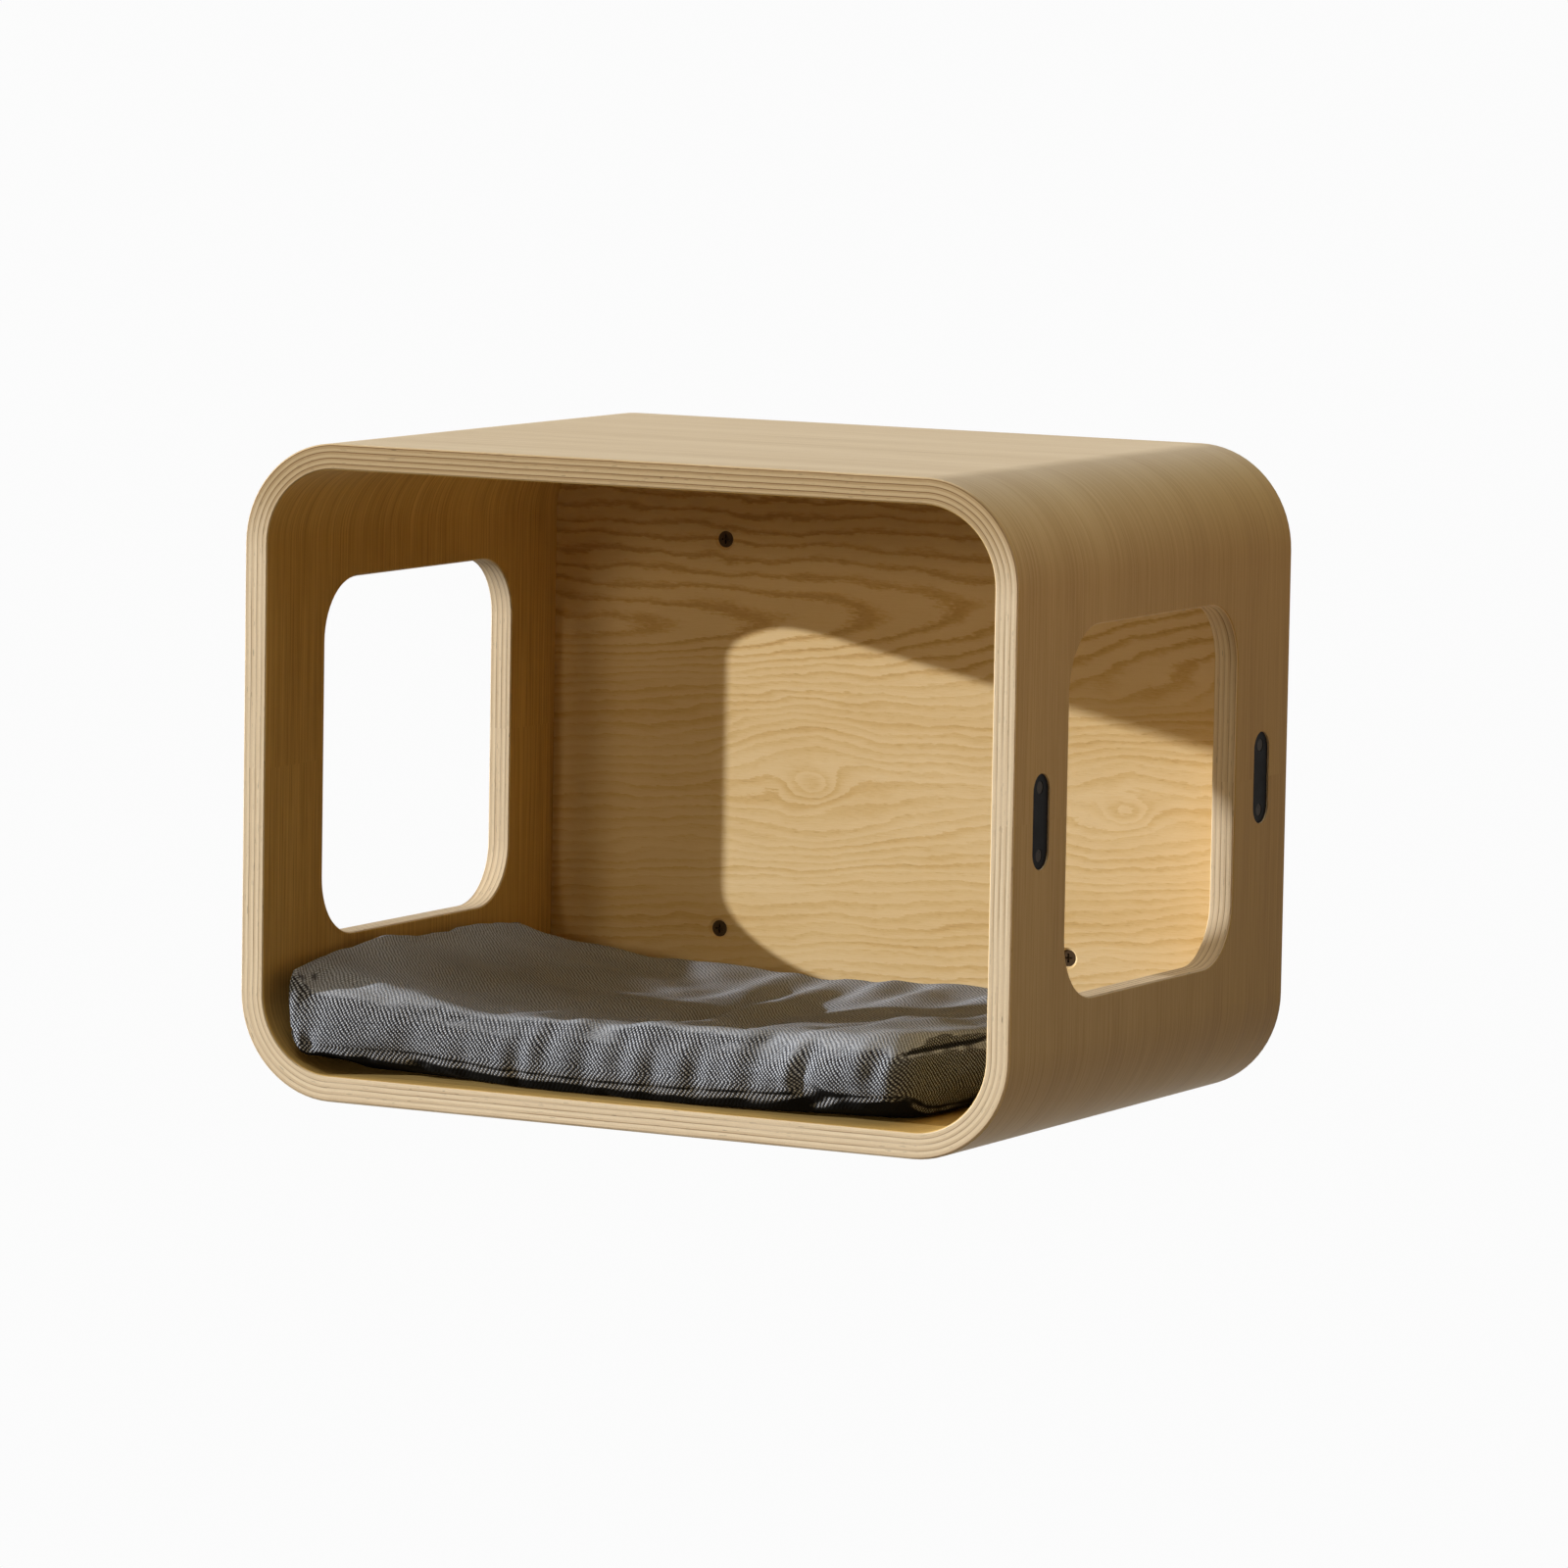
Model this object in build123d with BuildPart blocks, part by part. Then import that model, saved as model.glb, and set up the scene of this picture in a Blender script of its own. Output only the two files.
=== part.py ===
"""Wall-mounted cat house: two bent plywood halves round a plywood back panel, with a loose cushion.

Lengths are in millimetres. The origin is the centre of the four wall screws on the wall plane.
+X is to the right seen from the front, +Y goes into the wall and +Z is up, so the mouth faces -Y.
"""

from build123d import *
from math import sqrt
import os

# Bent plywood shell
shell_width = 500.0
shell_height = 380.0
shell_depth = 350.0
shell_corner_radius = 60.0
ply_thickness = 15.0
arris_chamfer = 1.0

# Window in each side wall
front_strip = 65.0
rear_strip = 70.0
window_height = 210.0
window_corner_radius = 36.0

# Back panel, held by a tongue all round it in a groove of both halves
panel_thickness = 18.0
panel_gap = 0.2
tongue_thickness = 6.0
tongue_length = 6.0
tongue_rear_inset = 6.0
tongue_side_gap = 0.15
tongue_end_gap = 0.3

# Steel plates let into the side walls across the joint of the halves
plate_length = 53.4
plate_width = 19.4
plate_thickness = 2.0
plate_recess = 1.0
plate_fit_gap = 0.3
plate_screw_spacing = 38.0

# Countersunk wood screws of the plates, whose sinks are a little wider than the heads
plate_screw_head_diameter = 7.0
plate_screw_diameter = 3.5
plate_screw_end_cover = 3.0
plate_screw_hole_spare = 0.8
plate_sink_spare = 0.35

# Biscuits that line up the two halves, flat lenses of beech in slots across the butt joint
biscuit_length = 47.0
biscuit_width = 15.0
biscuit_thickness = 4.0
biscuit_fit_gap = 0.05
biscuit_end_gap = 1.0

# Countersunk wall screws
wall_screw_spacing_x = 236.0
wall_screw_spacing_z = 236.0
wall_screw_head_diameter = 10.0
wall_screw_diameter = 5.0
wall_screw_shank_diameter = 4.0
wall_screw_length = 50.0
wall_screw_sink_diameter = 13.0
wall_screw_hole_gap = 0.25
wall_screw_cross_length = 5.6
wall_screw_cross_width = 1.2
wall_screw_cross_depth = 1.7
screw_seat_gap = 0.05

# Cushion, which fills the floor and climbs the lower corners a little at its ends
pad_left_gap = 2.7
pad_right_gap = 37.3
pad_front_setback = 8.0
pad_edge_height = 40.5
pad_hollow = 6.0
pad_end_lift = 8.0
pad_front_draw_in = 1.5
pad_face_bulge = 2.5
pad_plan_radius = 34.0
pad_top_edge_radius = 13.0
pad_bottom_edge_radius = 8.0
pad_end_round = 10.0
pad_floor_gap = 0.3
pad_station_shares = (0.0, 0.5, 0.8, 0.91, 0.97, 1.0)
pad_end_corner_share = 0.45
pad_end_hollow_share = 0.3
pad_top_rise_share = 0.8
cover_thickness = 1.2
foam_gap = 0.3
foam_zip_space = 1.0

# Zip along the middle of the cushion's rear face
zip_side_inset = 65.0
zip_slot_height = 9.0
zip_tape_height = 16.0
zip_tape_thickness = 0.8
zip_tape_gap = 0.1
zip_meeting_gap = 0.05
zip_stem_height = 3.0
zip_stem_depth = 0.8
zip_head_height = 5.0
zip_head_depth = 1.2
zip_end_margin = 6.0
zip_face_drop = 2.0

# Zip slider, a channel that runs on the chain, with the pull's pin between two ears
slider_length = 10.0
slider_run_gap = 0.15
slider_wall = 0.8
slider_ear_length = 4.0
slider_ear_thickness = 0.9
slider_ear_rise = 3.2
slider_pin_diameter = 1.2
pull_length = 15.0
pull_width = 3.4
pull_thickness = 1.1
pull_eye_gap = 0.08
pull_side_gap = 0.15
pull_grip_hole_length = 5.0
pull_grip_hole_width = 1.6
pull_swing_gap = 5.4

# Every cut runs this far past the face that it leaves
overrun = 5.0

inner_width = shell_width - 2 * ply_thickness
inner_height = shell_height - 2 * ply_thickness
inner_radius = shell_corner_radius - ply_thickness
window_depth = shell_depth - front_strip - rear_strip
window_middle_y = -rear_strip - window_depth / 2
strip_middles = (-shell_depth + front_strip / 2, -rear_strip / 2)
side_signs = {"left": -1, "right": 1}
pocket_depth = plate_recess + plate_thickness
plate_screw_length = ply_thickness - plate_recess - plate_screw_end_cover
plate_screw_hole_depth = plate_screw_length - plate_thickness + plate_screw_hole_spare
groove_depth = tongue_length + tongue_end_gap
groove_width = tongue_thickness + 2 * tongue_side_gap
groove_rear_inset = tongue_rear_inset - tongue_side_gap
biscuit_middles = (strip_middles[0], -(groove_rear_inset + groove_width + rear_strip) / 2)

# The zip pull's pin stands out of the cushion's rear, and the cushion leaves the pull room to swing
chain_stand_out = zip_stem_depth + zip_head_depth - cover_thickness - zip_tape_gap
slider_stand_out = chain_stand_out + slider_run_gap + slider_wall
pin_stand_out = slider_stand_out + slider_ear_rise - slider_pin_diameter
pad_rear = -panel_thickness - pull_swing_gap - pull_length - pin_stand_out
pad_width = inner_width - pad_left_gap - pad_right_gap
pad_middle_x = (pad_left_gap - pad_right_gap) / 2


def side_plane(side, depth):
    """The plane at a depth below a side wall's outer face, with its normal out of the wall."""
    sign = side_signs[side]
    origin = (sign * (shell_width / 2 - depth), 0, 0)
    return Plane(origin=origin, x_dir=(0, sign, 0), z_dir=(sign, 0, 0))


def on_side(side, y, z):
    """A point of the row frame in the local coordinates of a side plane."""
    return (side_signs[side] * y, z)


def biscuit_outline(spare):
    """A biscuit's lens shape, widened by spare all round."""
    tip = biscuit_length / 2 + spare
    belly = biscuit_width / 2 + spare
    with BuildSketch() as outline:
        with BuildLine():
            ThreePointArc((-tip, 0), (0, belly), (tip, 0))
            ThreePointArc((tip, 0), (0, -belly), (-tip, 0))
        make_face()
    return outline.sketch


def export(builder, name):
    """Label a finished piece and write it to its own file."""
    builder.part.label = name
    export_step(builder.part, f"parts/{name}.step")


def bent_half(keep, up):
    """One bent half of the shell: keep is the half that stays, up is +1 or -1."""
    with BuildPart() as half:
        with BuildSketch(Plane.XZ):
            RectangleRounded(shell_width, shell_height, shell_corner_radius)
            RectangleRounded(inner_width, inner_height, inner_radius, mode=Mode.SUBTRACT)
        extrude(amount=shell_depth)
        ring_edges = half.edges().group_by(Axis.Y)
        chamfer(ring_edges[0] + ring_edges[-1], arris_chamfer)

        # Side windows, through both walls at once
        with BuildSketch(Plane.YZ.offset(-shell_width / 2 - overrun)):
            with Locations((window_middle_y, 0)):
                RectangleRounded(window_depth, window_height, window_corner_radius)
        extrude(amount=shell_width + 2 * overrun, mode=Mode.SUBTRACT)
        window_edges = (
            half.edges()
            .filter_by_position(Axis.Z, -window_height / 2, window_height / 2)
            .filter_by_position(Axis.Y, -shell_depth + front_strip, -rear_strip)
            .group_by(Axis.X)
        )
        chamfer(window_edges[0] + window_edges[2] + window_edges[-3] + window_edges[-1], arris_chamfer)

        # Groove for the back panel's tongue
        with BuildSketch(Plane.XZ.offset(groove_rear_inset)):
            RectangleRounded(
                inner_width + 2 * groove_depth,
                inner_height + 2 * groove_depth,
                inner_radius + groove_depth,
            )
        extrude(amount=groove_width, mode=Mode.SUBTRACT)

        split(bisect_by=Plane.XY, keep=keep)

        for side in side_signs:
            for y in strip_middles:
                # Half of the pocket for a joining plate
                with BuildSketch(side_plane(side, -overrun)):
                    with Locations(on_side(side, y, 0)):
                        SlotOverall(
                            plate_length + 2 * plate_fit_gap,
                            plate_width + 2 * plate_fit_gap,
                            rotation=90,
                        )
                extrude(amount=-pocket_depth - overrun, mode=Mode.SUBTRACT)

                # Pilot hole of the plate's screw
                with BuildSketch(side_plane(side, pocket_depth)):
                    with Locations(on_side(side, y, up * plate_screw_spacing / 2)):
                        Circle(plate_screw_diameter / 2 + screw_seat_gap)
                extrude(amount=-plate_screw_hole_depth, mode=Mode.SUBTRACT)

            # This half's share of the slots for the biscuits, in the middle of the wall
            with BuildSketch(side_plane(side, (ply_thickness - biscuit_slot_thickness) / 2)):
                with Locations(*[on_side(side, y, 0) for y in biscuit_middles]):
                    add(biscuit_slot)
            extrude(amount=-biscuit_slot_thickness, mode=Mode.SUBTRACT)
    return half


def countersunk_screw(head_diameter, diameter, length):
    """A countersunk screw along -Z, with the flat of its head on the XY plane."""
    sink = (head_diameter - diameter) / 2
    with BuildPart() as screw:
        with BuildSketch(Plane.XZ):
            with BuildLine():
                Polyline(
                    (0, 0),
                    (head_diameter / 2, 0),
                    (diameter / 2, -sink),
                    (diameter / 2, -length),
                    (0, -length),
                    close=True,
                )
            make_face()
        revolve(axis=Axis.Z)
    return screw


def floor_height(x, inset):
    """Height of the cushion's underside at x: flat, then up the shell's lower corner."""
    flat_end = inner_width / 2 - inner_radius
    reach = inner_radius - pad_floor_gap - inset
    past = max(abs(x) - flat_end, 0)
    return -inner_height / 2 + inner_radius - sqrt(reach**2 - past**2)


def pad_section(share, inset, rear_space, rounded):
    """The cushion's outline across X at a share of its half width, drawn in by inset all round.

    The top is hollow. The edges are round and the front bulges, or, on the cut foam, bevels and flats.
    """
    half_width = pad_width / 2 - inset
    x = pad_middle_x + share * half_width
    size = abs(share)

    # In plan the front is drawn in between rounded corners
    plan_radius = pad_plan_radius - inset
    past = max(size * half_width - (half_width - plan_radius), 0)
    corner = plan_radius - sqrt(plan_radius**2 - past**2 * (1 - pad_end_corner_share**2))
    front = -shell_depth + pad_front_setback + inset + corner
    front += pad_front_draw_in * (1 - size**2)
    rear = pad_rear - inset - rear_space - corner

    # The ends round off, and the underside follows the shell
    end_round = pad_end_round * size**8
    bottom = floor_height(x, inset) + end_round
    rise = floor_height(x, inset) - floor_height(0, inset)
    top = floor_height(0, inset) + pad_edge_height - 2 * inset
    top += rise * pad_top_rise_share + pad_end_lift * size**2 - end_round
    hollow = pad_hollow * (1 - (1 - pad_end_hollow_share) * size**6)
    end_scale = 1 - (1 - pad_end_corner_share) * size**8
    top_radius = (pad_top_edge_radius - inset) * end_scale
    bottom_radius = (pad_bottom_edge_radius - inset) * end_scale
    slant = 1 - sqrt(0.5)

    bottom_front = (front + bottom_radius, bottom)
    bottom_rear = (rear - bottom_radius, bottom)
    rear_low = (rear, bottom + bottom_radius)
    rear_high = (rear, top - top_radius)
    top_rear = (rear - top_radius, top)
    top_middle = ((front + rear) / 2, top - hollow)
    top_front = (front + top_radius, top)
    front_high = (front, top - top_radius)
    front_low = (front, bottom + bottom_radius)
    front_middle = (front - pad_face_bulge, (top + bottom) / 2)
    with BuildSketch(Plane.YZ.offset(x)) as section:
        with BuildLine():
            ThreePointArc(top_rear, top_middle, top_front)
            if rounded:
                low_slant = slant * bottom_radius
                high_slant = slant * top_radius
                Line(bottom_front, bottom_rear)
                ThreePointArc(bottom_rear, (rear - low_slant, bottom + low_slant), rear_low)
                Line(rear_low, rear_high)
                ThreePointArc(rear_high, (rear - high_slant, top - high_slant), top_rear)
                ThreePointArc(top_front, (front + high_slant, top - high_slant), front_high)
                ThreePointArc(front_high, front_middle, front_low)
                ThreePointArc(front_low, (front + low_slant, bottom + low_slant), bottom_front)
            else:
                Polyline(
                    top_front,
                    front_high,
                    front_low,
                    bottom_front,
                    bottom_rear,
                    rear_low,
                    rear_high,
                    top_rear,
                )
        make_face()
    return section.sketch.face()


def pad_sections(inset, rear_space=0, rounded=True):
    """The outlines of the whole cushion from its left end to its right end."""
    shares = [-share for share in reversed(pad_station_shares[1:])] + list(pad_station_shares)
    return [pad_section(share, inset, rear_space, rounded) for share in shares]


os.makedirs("parts", exist_ok=True)

# Shell halves
biscuit_slot = biscuit_outline(biscuit_end_gap)
biscuit_slot_thickness = biscuit_thickness + 2 * biscuit_fit_gap
upper_shell = bent_half(Keep.TOP, 1)
export(upper_shell, "upper_shell")

lower_shell = bent_half(Keep.BOTTOM, -1)
export(lower_shell, "lower_shell")

# Back panel with its tongue and the countersunk holes for the wall screws
with BuildPart() as back_panel:
    with BuildSketch(Plane.XZ):
        RectangleRounded(
            inner_width - 2 * panel_gap, inner_height - 2 * panel_gap, inner_radius - panel_gap
        )
    extrude(amount=panel_thickness)
    with BuildSketch(Plane.XZ.offset(tongue_rear_inset)):
        RectangleRounded(
            inner_width + 2 * tongue_length,
            inner_height + 2 * tongue_length,
            inner_radius + tongue_length,
        )
    extrude(amount=tongue_thickness)
    with Locations(Plane.XZ.offset(panel_thickness)):
        with GridLocations(wall_screw_spacing_x, wall_screw_spacing_z, 2, 2):
            CounterSinkHole(
                radius=wall_screw_diameter / 2 + wall_screw_hole_gap,
                counter_sink_radius=wall_screw_sink_diameter / 2,
                counter_sink_angle=90,
            )
export(back_panel, "back_panel")

# Wall screws: smooth through the panel, then as wide as their threads where they stand out into the wall
wall_screw_sunk = (wall_screw_sink_diameter - wall_screw_head_diameter) / 2 - screw_seat_gap
wall_screw_smooth_length = panel_thickness - wall_screw_sunk
with BuildPart() as wall_screw:
    add(
        countersunk_screw(
            wall_screw_head_diameter, wall_screw_shank_diameter, wall_screw_smooth_length
        ).part
    )
    with BuildSketch(Plane.XY.offset(-wall_screw_smooth_length)):
        Circle(wall_screw_diameter / 2)
    extrude(amount=wall_screw_smooth_length - wall_screw_length)
    with BuildSketch(Plane.XY):
        Rectangle(wall_screw_cross_length, wall_screw_cross_width)
        Rectangle(wall_screw_cross_width, wall_screw_cross_length)
    extrude(amount=-wall_screw_cross_depth, mode=Mode.SUBTRACT)
with BuildPart() as wall_screws:
    with Locations(Plane.XZ.offset(wall_screw_smooth_length)):
        with GridLocations(wall_screw_spacing_x, wall_screw_spacing_z, 2, 2):
            add(wall_screw.part)
export(wall_screws, "wall_screws")

# Joining plates with their screws, and the biscuits, in the front and the rear strip of each side
biscuit = biscuit_outline(0)
plate_screw = countersunk_screw(
    plate_screw_head_diameter, plate_screw_diameter, plate_screw_length
)
plate_screw_sunk = plate_recess + plate_sink_spare - 2 * screw_seat_gap
for side in side_signs:
    on_strips = [on_side(side, y, 0) for y in strip_middles]
    with BuildPart() as joining_plates:
        with BuildSketch(side_plane(side, pocket_depth)):
            with Locations(*on_strips):
                SlotOverall(plate_length, plate_width, rotation=90)
        extrude(amount=plate_thickness)
        with Locations(side_plane(side, plate_recess)):
            with Locations(*on_strips):
                with GridLocations(0, plate_screw_spacing, 1, 2):
                    CounterSinkHole(
                        radius=plate_screw_diameter / 2 + screw_seat_gap,
                        counter_sink_radius=plate_screw_head_diameter / 2 + plate_sink_spare,
                        counter_sink_angle=90,
                    )
    export(joining_plates, f"joining_plates_{side}")

    with BuildPart() as joining_screws:
        with Locations(side_plane(side, plate_screw_sunk)):
            with Locations(*on_strips):
                with GridLocations(0, plate_screw_spacing, 1, 2):
                    add(plate_screw.part)
    export(joining_screws, f"joining_screws_{side}")

    with BuildPart() as biscuits:
        with BuildSketch(side_plane(side, (ply_thickness + biscuit_thickness) / 2)):
            with Locations(*[on_side(side, y, 0) for y in biscuit_middles]):
                add(biscuit)
        extrude(amount=biscuit_thickness)
    export(biscuits, f"biscuits_{side}")

# Cushion cover, a fabric skin with a slot at the rear for the zip
zip_length = pad_width - 2 * zip_side_inset
zip_middle = floor_height(0, 0) + pad_edge_height / 2 - zip_face_drop
with BuildPart() as cushion_cover:
    loft(sections=pad_sections(0), ruled=True)
    loft(sections=pad_sections(cover_thickness), ruled=True, mode=Mode.SUBTRACT)
    with BuildSketch(Plane.XZ.offset(-pad_rear - overrun)):
        with Locations((pad_middle_x, zip_middle)):
            Rectangle(zip_length, zip_slot_height)
    extrude(amount=overrun + 2 * cover_thickness, mode=Mode.SUBTRACT)
export(cushion_cover, "cushion_cover")

# Foam filling with bevelled edges, set back at the rear to leave the zip its space
with BuildPart() as cushion_foam:
    loft(sections=pad_sections(cover_thickness + foam_gap, foam_zip_space, False), ruled=True)
export(cushion_foam, "cushion_foam")

# Zip halves: a tape behind the slot's edge with its row of teeth standing out through the slot
tape_outer = pad_rear - cover_thickness - zip_tape_gap
chain_outer = pad_rear + chain_stand_out
zip_reach = zip_length / 2 - zip_end_margin
for name, up in {"zip_upper_half": 1, "zip_lower_half": -1}.items():
    with BuildPart() as zip_half:
        with BuildSketch(Plane.YZ.offset(pad_middle_x - zip_reach)):
            with BuildLine():
                Polyline(
                    (tape_outer - zip_tape_thickness, zip_middle + up * zip_meeting_gap),
                    (tape_outer - zip_tape_thickness, zip_middle + up * zip_tape_height / 2),
                    (tape_outer, zip_middle + up * zip_tape_height / 2),
                    (tape_outer, zip_middle + up * zip_stem_height / 2),
                    (tape_outer + zip_stem_depth, zip_middle + up * zip_stem_height / 2),
                    (tape_outer + zip_stem_depth, zip_middle + up * zip_head_height / 2),
                    (chain_outer, zip_middle + up * zip_head_height / 2),
                    (chain_outer, zip_middle + up * zip_meeting_gap),
                    close=True,
                )
            make_face()
        extrude(amount=2 * zip_reach)
    export(zip_half, name)

# Zip slider at the right end of its travel
slider_middle_x = pad_middle_x + zip_reach - slider_length / 2
slider_outer = pad_rear + slider_stand_out
slider_inner = tape_outer + slider_run_gap
lip_outer = tape_outer + zip_stem_depth - slider_run_gap
channel_half = zip_head_height / 2 + slider_run_gap
slider_half = channel_half + slider_wall
mouth_half = zip_stem_height / 2 + slider_run_gap
pin_y = pad_rear + pin_stand_out
pull_half = pull_width / 2
with BuildPart() as zip_slider:
    with BuildSketch(Plane.YZ.offset(slider_middle_x - slider_length / 2)):
        with Locations(((slider_inner + slider_outer) / 2, zip_middle)):
            Rectangle(slider_outer - slider_inner, 2 * slider_half)
        with Locations(((lip_outer + chain_outer + slider_run_gap) / 2, zip_middle)):
            Rectangle(
                chain_outer + slider_run_gap - lip_outer, 2 * channel_half, mode=Mode.SUBTRACT
            )
        with Locations(((slider_inner + lip_outer) / 2, zip_middle)):
            Rectangle(lip_outer - slider_inner, 2 * mouth_half, mode=Mode.SUBTRACT)
    extrude(amount=slider_length)
    with BuildSketch(Plane.XY.offset(zip_middle + pull_half + pull_side_gap)):
        with Locations((slider_middle_x, slider_outer + slider_ear_rise / 2)):
            Rectangle(slider_ear_length, slider_ear_rise)
    extrude(amount=slider_ear_thickness)
    with BuildSketch(Plane.XY.offset(zip_middle - pull_half - pull_side_gap)):
        with Locations((slider_middle_x, slider_outer + slider_ear_rise / 2)):
            Rectangle(slider_ear_length, slider_ear_rise)
    extrude(amount=-slider_ear_thickness)
    with BuildSketch(Plane.XY.offset(zip_middle - pull_half - pull_side_gap)):
        with Locations((slider_middle_x, pin_y)):
            Circle(slider_pin_diameter / 2)
    extrude(amount=pull_width + 2 * pull_side_gap)
export(zip_slider, "zip_slider")

# Zip pull, lying back along the closed chain
with BuildPart() as zip_pull:
    with BuildSketch(Plane.XY.offset(zip_middle - pull_half)):
        with Locations((slider_middle_x, pin_y)):
            Circle(slider_pin_diameter / 2 + pull_eye_gap + pull_thickness / 2)
        with Locations((slider_middle_x - pull_length / 2, pin_y)):
            Rectangle(pull_length, pull_thickness)
        with Locations((slider_middle_x, pin_y)):
            Circle(slider_pin_diameter / 2 + pull_eye_gap, mode=Mode.SUBTRACT)
    extrude(amount=pull_width)
    with BuildSketch(Plane.XZ.offset(-pin_y - overrun)):
        with Locations((slider_middle_x - pull_length + pull_grip_hole_length, zip_middle)):
            Rectangle(pull_grip_hole_length, pull_grip_hole_width)
    extrude(amount=2 * overrun, mode=Mode.SUBTRACT)
export(zip_pull, "zip_pull")
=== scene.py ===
"""Looks of the wall-mounted cat house: two bent plywood halves, a plywood panel and a grey twill cushion.

Everything is in metres, in the frame of the CAD part: +X to the right seen from the front, +Y into the wall
and +Z up. The shaders read object coordinates in millimetres, so that grain and weave have their real size.
"""

from math import cos, pi, radians, sin

import bmesh
import bpy
import numpy as np
from mathutils import Matrix, Vector


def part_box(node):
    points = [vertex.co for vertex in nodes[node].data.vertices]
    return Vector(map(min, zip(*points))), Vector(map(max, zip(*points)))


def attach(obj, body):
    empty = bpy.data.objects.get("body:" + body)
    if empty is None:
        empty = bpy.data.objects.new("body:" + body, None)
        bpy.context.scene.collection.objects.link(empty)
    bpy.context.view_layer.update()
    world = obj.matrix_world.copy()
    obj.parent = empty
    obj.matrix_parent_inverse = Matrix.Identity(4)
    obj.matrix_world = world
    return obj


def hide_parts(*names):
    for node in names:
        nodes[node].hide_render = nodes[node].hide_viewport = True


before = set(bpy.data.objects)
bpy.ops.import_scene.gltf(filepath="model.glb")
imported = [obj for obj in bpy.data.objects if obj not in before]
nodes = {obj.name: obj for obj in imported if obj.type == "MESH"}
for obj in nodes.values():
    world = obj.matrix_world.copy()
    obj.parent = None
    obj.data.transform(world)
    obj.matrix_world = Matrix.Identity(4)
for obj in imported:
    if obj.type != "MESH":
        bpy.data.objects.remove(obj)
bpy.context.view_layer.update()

# Sizes of the CAD part that the shaders and the cushion follow, in millimetres
MM = 0.001
shell_low, shell_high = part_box("upper_shell")
SHELL_HALF_WIDTH = round(shell_high[0] / MM, 3)
SHELL_HALF_HEIGHT = round(shell_high[2] / MM, 3)
SHELL_DEPTH = round(-shell_low[1] / MM, 3)
SHELL_CORNER = 60.0
FLAT_END = SHELL_HALF_WIDTH - SHELL_CORNER
PLY = 15.0

# Lamps that stand for parallel light: name, direction, strength, degrees that the light spans, and colour
SUN_TRAVEL = (0.903, 0.388, -0.185)
LAMPS = (
    ("sun", SUN_TRAVEL, 4.3, 1.2, (1.0, 1.0, 1.0)),
    ("overhead", (0.0, 0.0, -1.0), 1.2, 50.0, (1.0, 0.96, 0.88)),
    ("side", (-1.0, 0.0, 0.8), 0.8, 30.0, (1.0, 0.5, 0.08)),
    ("front", (0.087, 1.0, -0.19), 0.42, 7.7, (1.0, 0.81, 0.55)),
)

# Plies on a cut edge, as shares of the thickness: where each glue line starts and the tan ply after it ends
GLUE_AND_TAN = ((0.07, 0.17), (0.305, 0.40), (0.545, 0.62), (0.765, 0.85))
GLUE_LINE_SHARE = 0.015
GLUE_BLUR = 0.02
PLY_BLUR = 0.03
ARRIS = 0.25
ARRIS_BLUR = 0.2

# Bent veneer: millimetres along and across the grain of each feature, and what keeps faces and halves apart
VENEER_BROAD = (420.0, 38.0)
VENEER_STREAK = (120.0, 1.6)
VENEER_HAIR = (22.0, 0.55)
VENEER_PORE = (14.0, 0.45)
FACE_SHIFT = 60.0
PORE_SHIFT = 20.0
HALF_SHIFT = 900.0

# Cut edge: millimetres in the edge's own directions and across the plies
EDGE_WAVER = (45.0, 30.0)
EDGE_FADE = (70.0, 3.0)
EDGE_GRIT = (9.0, 0.22)
EDGE_SPECK = (0.8, 0.3)
EDGE_VOID = (8.0, 0.45)

# The panel's ring lines: millimetres along and across the grain of each kind of unevenness, and its lift
WOBBLE, WOBBLE_LIFT = (160.0, 46.0), 14.0
RIPPLE, RIPPLE_LIFT = (30.0, 7.0), 4.5
JITTER, JITTER_LIFT = (5.0, 1.2), 2.6
BEND, BEND_LIFT = (60.0, 30.0), 20.0
PANEL_BROAD = (240.0, 42.0)
PANEL_FIBRE = (20.0, 0.55)
PANEL_FLECK = (7.0, 0.5)

# The panel's rings, in millimetres: their spacing, nested tongues high up, and eyes low down
RING_SPACING = 6.2
FIRST_RING = 60.3
TONGUES_START = 38.0
TONGUES_AXIS = 82.0
TONGUES_SLOPE = 0.135
TONGUES_WIDTH = 15.0
TONGUES_RINGS = -1.7

# An eye: its middle, its reach along and across the grain, and how far it lifts the rings
PANEL_EYES = (
    (-62.0, 2.0, 46.0, 25.0, -16.0),
    (-48.0, -54.0, 48.0, 21.0, 14.0),
    (-56.0, -26.0, 16.0, 10.0, 17.0),
    (150.0, -4.0, 44.0, 22.0, -12.0),
    (160.0, -52.0, 46.0, 18.0, 9.0),
    (155.0, -29.0, 15.0, 9.0, 14.0),
)

# Twill, foam, zip and metal, in millimetres: spacings, sizes, and the lines where the twill's ribs turn back
RIB_SPACING = 2.7
THREAD_SPACING = 1.9
RIB_WOBBLE = 7.0
SLUB = 1.2
CLOTH_PATCH = 40.0
FOAM_CELL = 0.7
WORN_PATCH = 6.0
SIDE_RIBS_TURN = -162.0
TOP_RIBS_TURN = -600.0
ZIP_TOOTH_SPACING = 1.5
TAPE_THREAD_SPACING = 0.6

# Black finishes: material, colour, roughness, millimetres across the texture, and the nodes that have it
BLACK_METALS = (
    ("black_plate", (0.007, 0.0062, 0.0055), 0.5, 0.35, ("joining_plates_left", "joining_plates_right")),
    ("black_screw", (0.06, 0.054, 0.048), 0.3, 0.5, ("joining_screws_left", "joining_screws_right")),
    ("wall_screw", (0.075, 0.05, 0.03), 0.35, 0.5, ("wall_screws",)),
    ("zip_metal", (0.09, 0.09, 0.095), 0.35, 0.4, ("zip_slider", "zip_pull")),
)

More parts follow.
